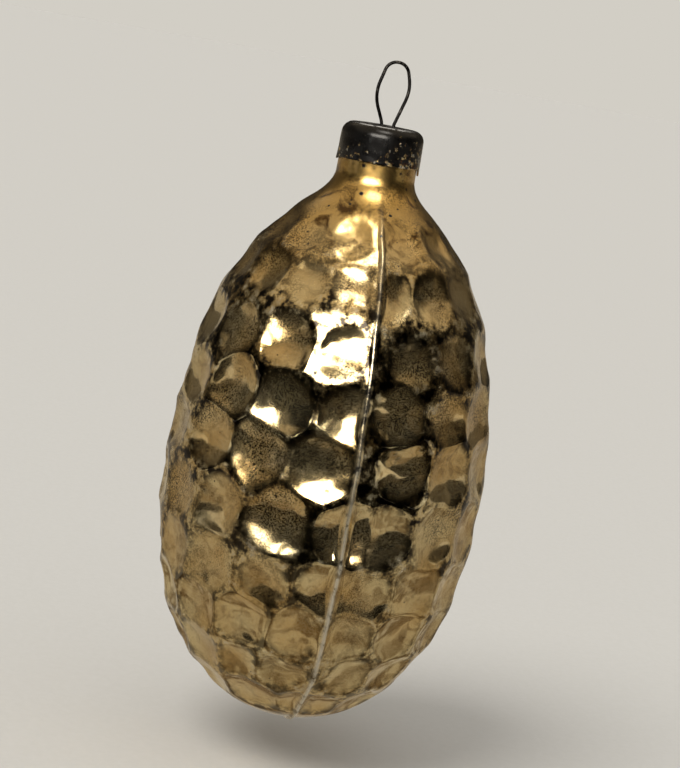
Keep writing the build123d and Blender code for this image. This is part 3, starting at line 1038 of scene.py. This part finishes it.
def make_world(sizes, look):
    """The mirror sees a pale room to the sides and above, and a dim one in front and behind. Matt
    surfaces get an even light from all round, and the view sees the floor's own colour far away."""
    world = bpy.data.worlds.new("studio_surroundings")
    world.use_nodes = True
    bpy.context.scene.world = world
    tree = world.node_tree
    tree.nodes.clear()
    straight = add_node(tree, "ShaderNodeTexCoord").outputs["Generated"]
    clutter = add_node(tree, "ShaderNodeTexNoise", {
        "Vector": straight, "Scale": 2.2, "Detail": 2.0}).outputs["Color"]
    clutter_centred = add_node(tree, "ShaderNodeVectorMath", {
        0: clutter, 1: (0.5, 0.5, 0.5)}, operation="SUBTRACT").outputs[0]
    strayed = add_node(tree, "ShaderNodeVectorMath", {
        0: clutter_centred, 1: (1.1, 1.1, 1.1), 2: straight}, operation="MULTIPLY_ADD").outputs[0]
    way = add_node(tree, "ShaderNodeVectorMath", {0: strayed}, operation="NORMALIZE").outputs[0]
    front = towards(sizes.azimuth, 0.0)
    facing = add_node(tree, "ShaderNodeVectorMath", {
        0: way, 1: tuple(front)}, operation="DOT_PRODUCT").outputs["Value"]
    rise = add_node(tree, "ShaderNodeSeparateXYZ", {0: way}).outputs["Z"]
    ahead = add_node(tree, "ShaderNodeMapRange", {
        "Value": facing, "From Min": -0.35, "From Max": 0.1, "To Min": SIDE_GLOW, "To Max": 0.0},
        interpolation_type="SMOOTHSTEP").outputs["Result"]
    behind = add_node(tree, "ShaderNodeMapRange", {
        "Value": facing, "From Min": -0.97, "From Max": -0.75, "To Min": 0.35},
        interpolation_type="SMOOTHSTEP").outputs["Result"]
    both = add_node(tree, "ShaderNodeMath", {0: ahead, 1: behind}, operation="MULTIPLY").outputs[0]
    above = add_node(tree, "ShaderNodeMapRange", {
        "Value": rise, "From Min": 0.4, "From Max": 0.75, "To Max": CEILING_GLOW},
        interpolation_type="SMOOTHSTEP").outputs["Result"]
    open_ways = add_node(tree, "ShaderNodeMath", {0: both, 1: above}, operation="MAXIMUM").outputs[0]
    patches = add_node(tree, "ShaderNodeTexNoise", {
        "Vector": way, "Scale": 2.6, "Detail": 1.0}).outputs["Fac"]
    patch = add_node(tree, "ShaderNodeMapRange", {
        "Value": patches, "From Min": 0.48, "From Max": 0.68, "To Min": 0.01, "To Max": PATCH_GLOW,
    }).outputs["Result"]
    room = add_node(tree, "ShaderNodeMath", {0: open_ways, 1: patch}, operation="MAXIMUM").outputs[0]
    mirrored = add_node(tree, "ShaderNodeMath", {0: room, 1: MIRRORED_ROOM}, operation="MULTIPLY").outputs[0]
    rays = add_node(tree, "ShaderNodeLightPath").outputs
    strength = add_node(tree, "ShaderNodeMix", {
        "Factor": rays["Is Glossy Ray"], NUMBER_A: ROOM_LIGHT, NUMBER_B: mirrored},
        data_type="FLOAT").outputs[0]
    tint = add_node(tree, "ShaderNodeMix", {
        "Factor": rays["Is Glossy Ray"], COLOUR_A: linear("FFFFFF"), COLOUR_B: linear("F0DCBC")},
        data_type="RGBA").outputs[COLOUR_OUT]
    around = add_node(tree, "ShaderNodeBackground", {"Color": tint, "Strength": strength}).outputs[0]
    ground = add_node(tree, "ShaderNodeBackground", {
        "Color": linear(look.paper_middle), "Strength": 1.0}).outputs[0]
    both_ways = add_node(tree, "ShaderNodeMixShader", {
        0: rays["Is Camera Ray"], 1: around, 2: ground}).outputs[0]
    add_node(tree, "ShaderNodeOutputWorld", {"Surface": both_ways})


def mirror_card(name, sizes, material, near, near_side, far, far_side, lift):
    """A flat trapezium, which only the mirror sees. It lies lift above the floor, from near to far in
    front of the object, and reaches near_side and far_side to each side there, all in metres."""
    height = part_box("glass_body")[0].z - FLOOR_GAP + lift
    turn = Matrix.Rotation(sizes.azimuth, 3, "Z")
    corners = [turn @ Vector((x, -y, height)) / MM for x, y in
               ((-near_side, near), (near_side, near), (far_side, far), (-far_side, far))]
    card = mesh_object(name, corners, [(3, 2, 1, 0)], material)
    card.visible_camera = False
    card.visible_diffuse = False
    card.visible_shadow = False


def glowing_card_material(name, dark, light, scale):
    """A matt card that glows evenly in a broken pattern of two colours, painted light for the mirror to show:
    no lamp lights it and it takes no shadow.
    """
    material, tree, shader = new_material(name)
    place = add_node(tree, "ShaderNodeTexCoord").outputs["Object"]
    pattern = add_node(tree, "ShaderNodeTexNoise", {
        "Vector": place, "Scale": scale, "Detail": 3.0, "Roughness": 0.6, "Distortion": 0.8}).outputs["Fac"]
    share = add_node(tree, "ShaderNodeMapRange", {
        "Value": pattern, "From Min": 0.4, "From Max": 0.54}).outputs["Result"]
    colour = add_node(tree, "ShaderNodeMix", {
        "Factor": share, COLOUR_A: linear(dark), COLOUR_B: linear(light)},
        data_type="RGBA").outputs[COLOUR_OUT]
    tree.links.new(colour, shader.inputs["Emission Color"])
    shader.inputs["Emission Strength"].default_value = 1.0
    shader.inputs["Base Color"].default_value = linear("000000")
    shader.inputs["Specular IOR Level"].default_value = 0.0
    return material


def make_cards(sizes):
    """What the mirror sees below, as cards that glow with painted light: a brown and cream cloth near the
    object, and past it a dark card painted as the shade in front.
    """
    cloth = glowing_card_material("cloth_card_glowing", "6F5F49", "B0A694", 60.0)
    floor = glowing_card_material("dark_card_painted_shade", "171510", "211E18", 9.0)
    # Both cards glow: the cloth card is painted light for the lit tablecloth, and the dark card is painted
    # shade for the shaded table and dim room in front.
    mirror_card("table_cloth", sizes, cloth, near=-8.0, near_side=8.0, far=0.085, far_side=8.0, lift=0.4 * MM)
    mirror_card("dark_card", sizes, floor, near=0.085, near_side=0.3, far=8.0, far_side=11.0, lift=0.8 * MM)


def area_light(name, way, distance, width, height, power):
    """A soft rectangular light that points at the middle of the glass, seen only as a shine."""
    light = bpy.data.lights.new(name, "AREA")
    light.shape = "RECTANGLE"
    light.size = width
    light.size_y = height
    light.energy = power
    light.color = linear(LAMP_COLOUR)[:3]
    obj = new_object(name, light)
    centre = Vector((0, 0, BELLY_Z * MM))
    obj.location = centre + way * distance
    obj.rotation_mode = "QUATERNION"
    obj.rotation_quaternion = (-way).to_track_quat("-Z", "Y")
    obj.visible_diffuse = False


def make_lights(sizes):
    """A broad key light above the viewer, a weaker one overhead, one high behind for the far side, and
    a soft sun that gives the even floor its shadow."""
    # Turn from the viewer and height in degrees; distance, width and height in metres; and watts.
    for name, turn, lift, distance, width, height, power in (
            ("key_light", -12, 25, 0.9, 0.7, 0.34, 11.0),
            ("top_light", 8, 72, 0.9, 0.3, 0.3, 2.4),
            ("back_light", 180, 42, 1.0, 0.4, 0.25, 1.5)):
        way = towards(sizes.azimuth + radians(turn), radians(lift))
        area_light(name, way, distance, width, height, power)
    light = bpy.data.lights.new("soft_sun", "SUN")
    light.angle = radians(35)
    light.energy = (1 - ROOM_LIGHT) * pi / sin(SUN_HEIGHT)
    sun = new_object("soft_sun", light)
    sun.rotation_mode = "QUATERNION"
    sun.rotation_quaternion = (-towards(sizes.azimuth - radians(50), SUN_HEIGHT)).to_track_quat("-Z", "Y")
    sun.visible_glossy = False


def make_camera(sizes):
    """The viewer: aimed a little above the point that the distance is measured from, and rolled so
    that the ornament leans."""
    back = towards(sizes.azimuth, sizes.elevation)
    side = Vector((0, 0, 1)).cross(back).normalized()
    up = back.cross(side)
    rolled_side = side * cos(sizes.lean) + up * sin(sizes.lean)
    rolled_up = up * cos(sizes.lean) - side * sin(sizes.lean)
    aim_right, aim_up = 0.00744, 0.0392
    forward = (-back + rolled_side * aim_right + rolled_up * aim_up).normalized()
    across = forward.cross(rolled_up).normalized()
    upright = across.cross(forward)
    data = bpy.data.cameras.new("viewer")
    data.lens = sizes.lens
    data.sensor_width = 36.0
    data.clip_start = 0.01
    camera = new_object("viewer", data)
    place = Matrix((across, upright, -forward)).transposed().to_4x4()
    place.translation = Vector((0, 0, sizes.aim_height)) + back * sizes.distance
    camera.matrix_world = place
    bpy.context.scene.camera = camera


class ORNAMENT_PT_panel(bpy.types.Panel):
    """Shows a button for each of the ornament's pieces"""
    bl_idname = "ORNAMENT_PT_panel"
    bl_label = "Honeycomb Ornament"
    bl_space_type = "VIEW_3D"
    bl_region_type = "UI"
    bl_category = "Ornament"

    def draw(self, context):
        for operator in OPERATORS:
            self.layout.operator(operator.bl_idname)


OPERATORS = (ORNAMENT_OT_stage, ORNAMENT_OT_glass_body, ORNAMENT_OT_cap, ORNAMENT_OT_wire_hanger)
GROUPS = (
    ("ornament_glass", GlassSizes),
    ("ornament_wire", WireSizes),
    ("ornament_colours", Colours),
    ("ornament_stage", StageSizes),
)


def register():
    """Registers the settings, the operators and the panel."""
    for name, group in GROUPS:
        bpy.utils.register_class(group)
        setattr(bpy.types.Scene, name, bpy.props.PointerProperty(type=group))
    for operator in OPERATORS:
        bpy.utils.register_class(operator)
    bpy.utils.register_class(ORNAMENT_PT_panel)


def unregister():
    """Takes everything that register added away again."""
    bpy.utils.unregister_class(ORNAMENT_PT_panel)
    for operator in reversed(OPERATORS):
        bpy.utils.unregister_class(operator)
    for name, group in reversed(GROUPS):
        delattr(bpy.types.Scene, name)
        bpy.utils.unregister_class(group)


def main():
    """Makes every piece in order."""
    register()
    bpy.ops.ornament.stage()
    bpy.ops.ornament.glass_body()
    bpy.ops.ornament.cap()
    bpy.ops.ornament.wire_hanger()


if __name__ == "__main__":
    main()
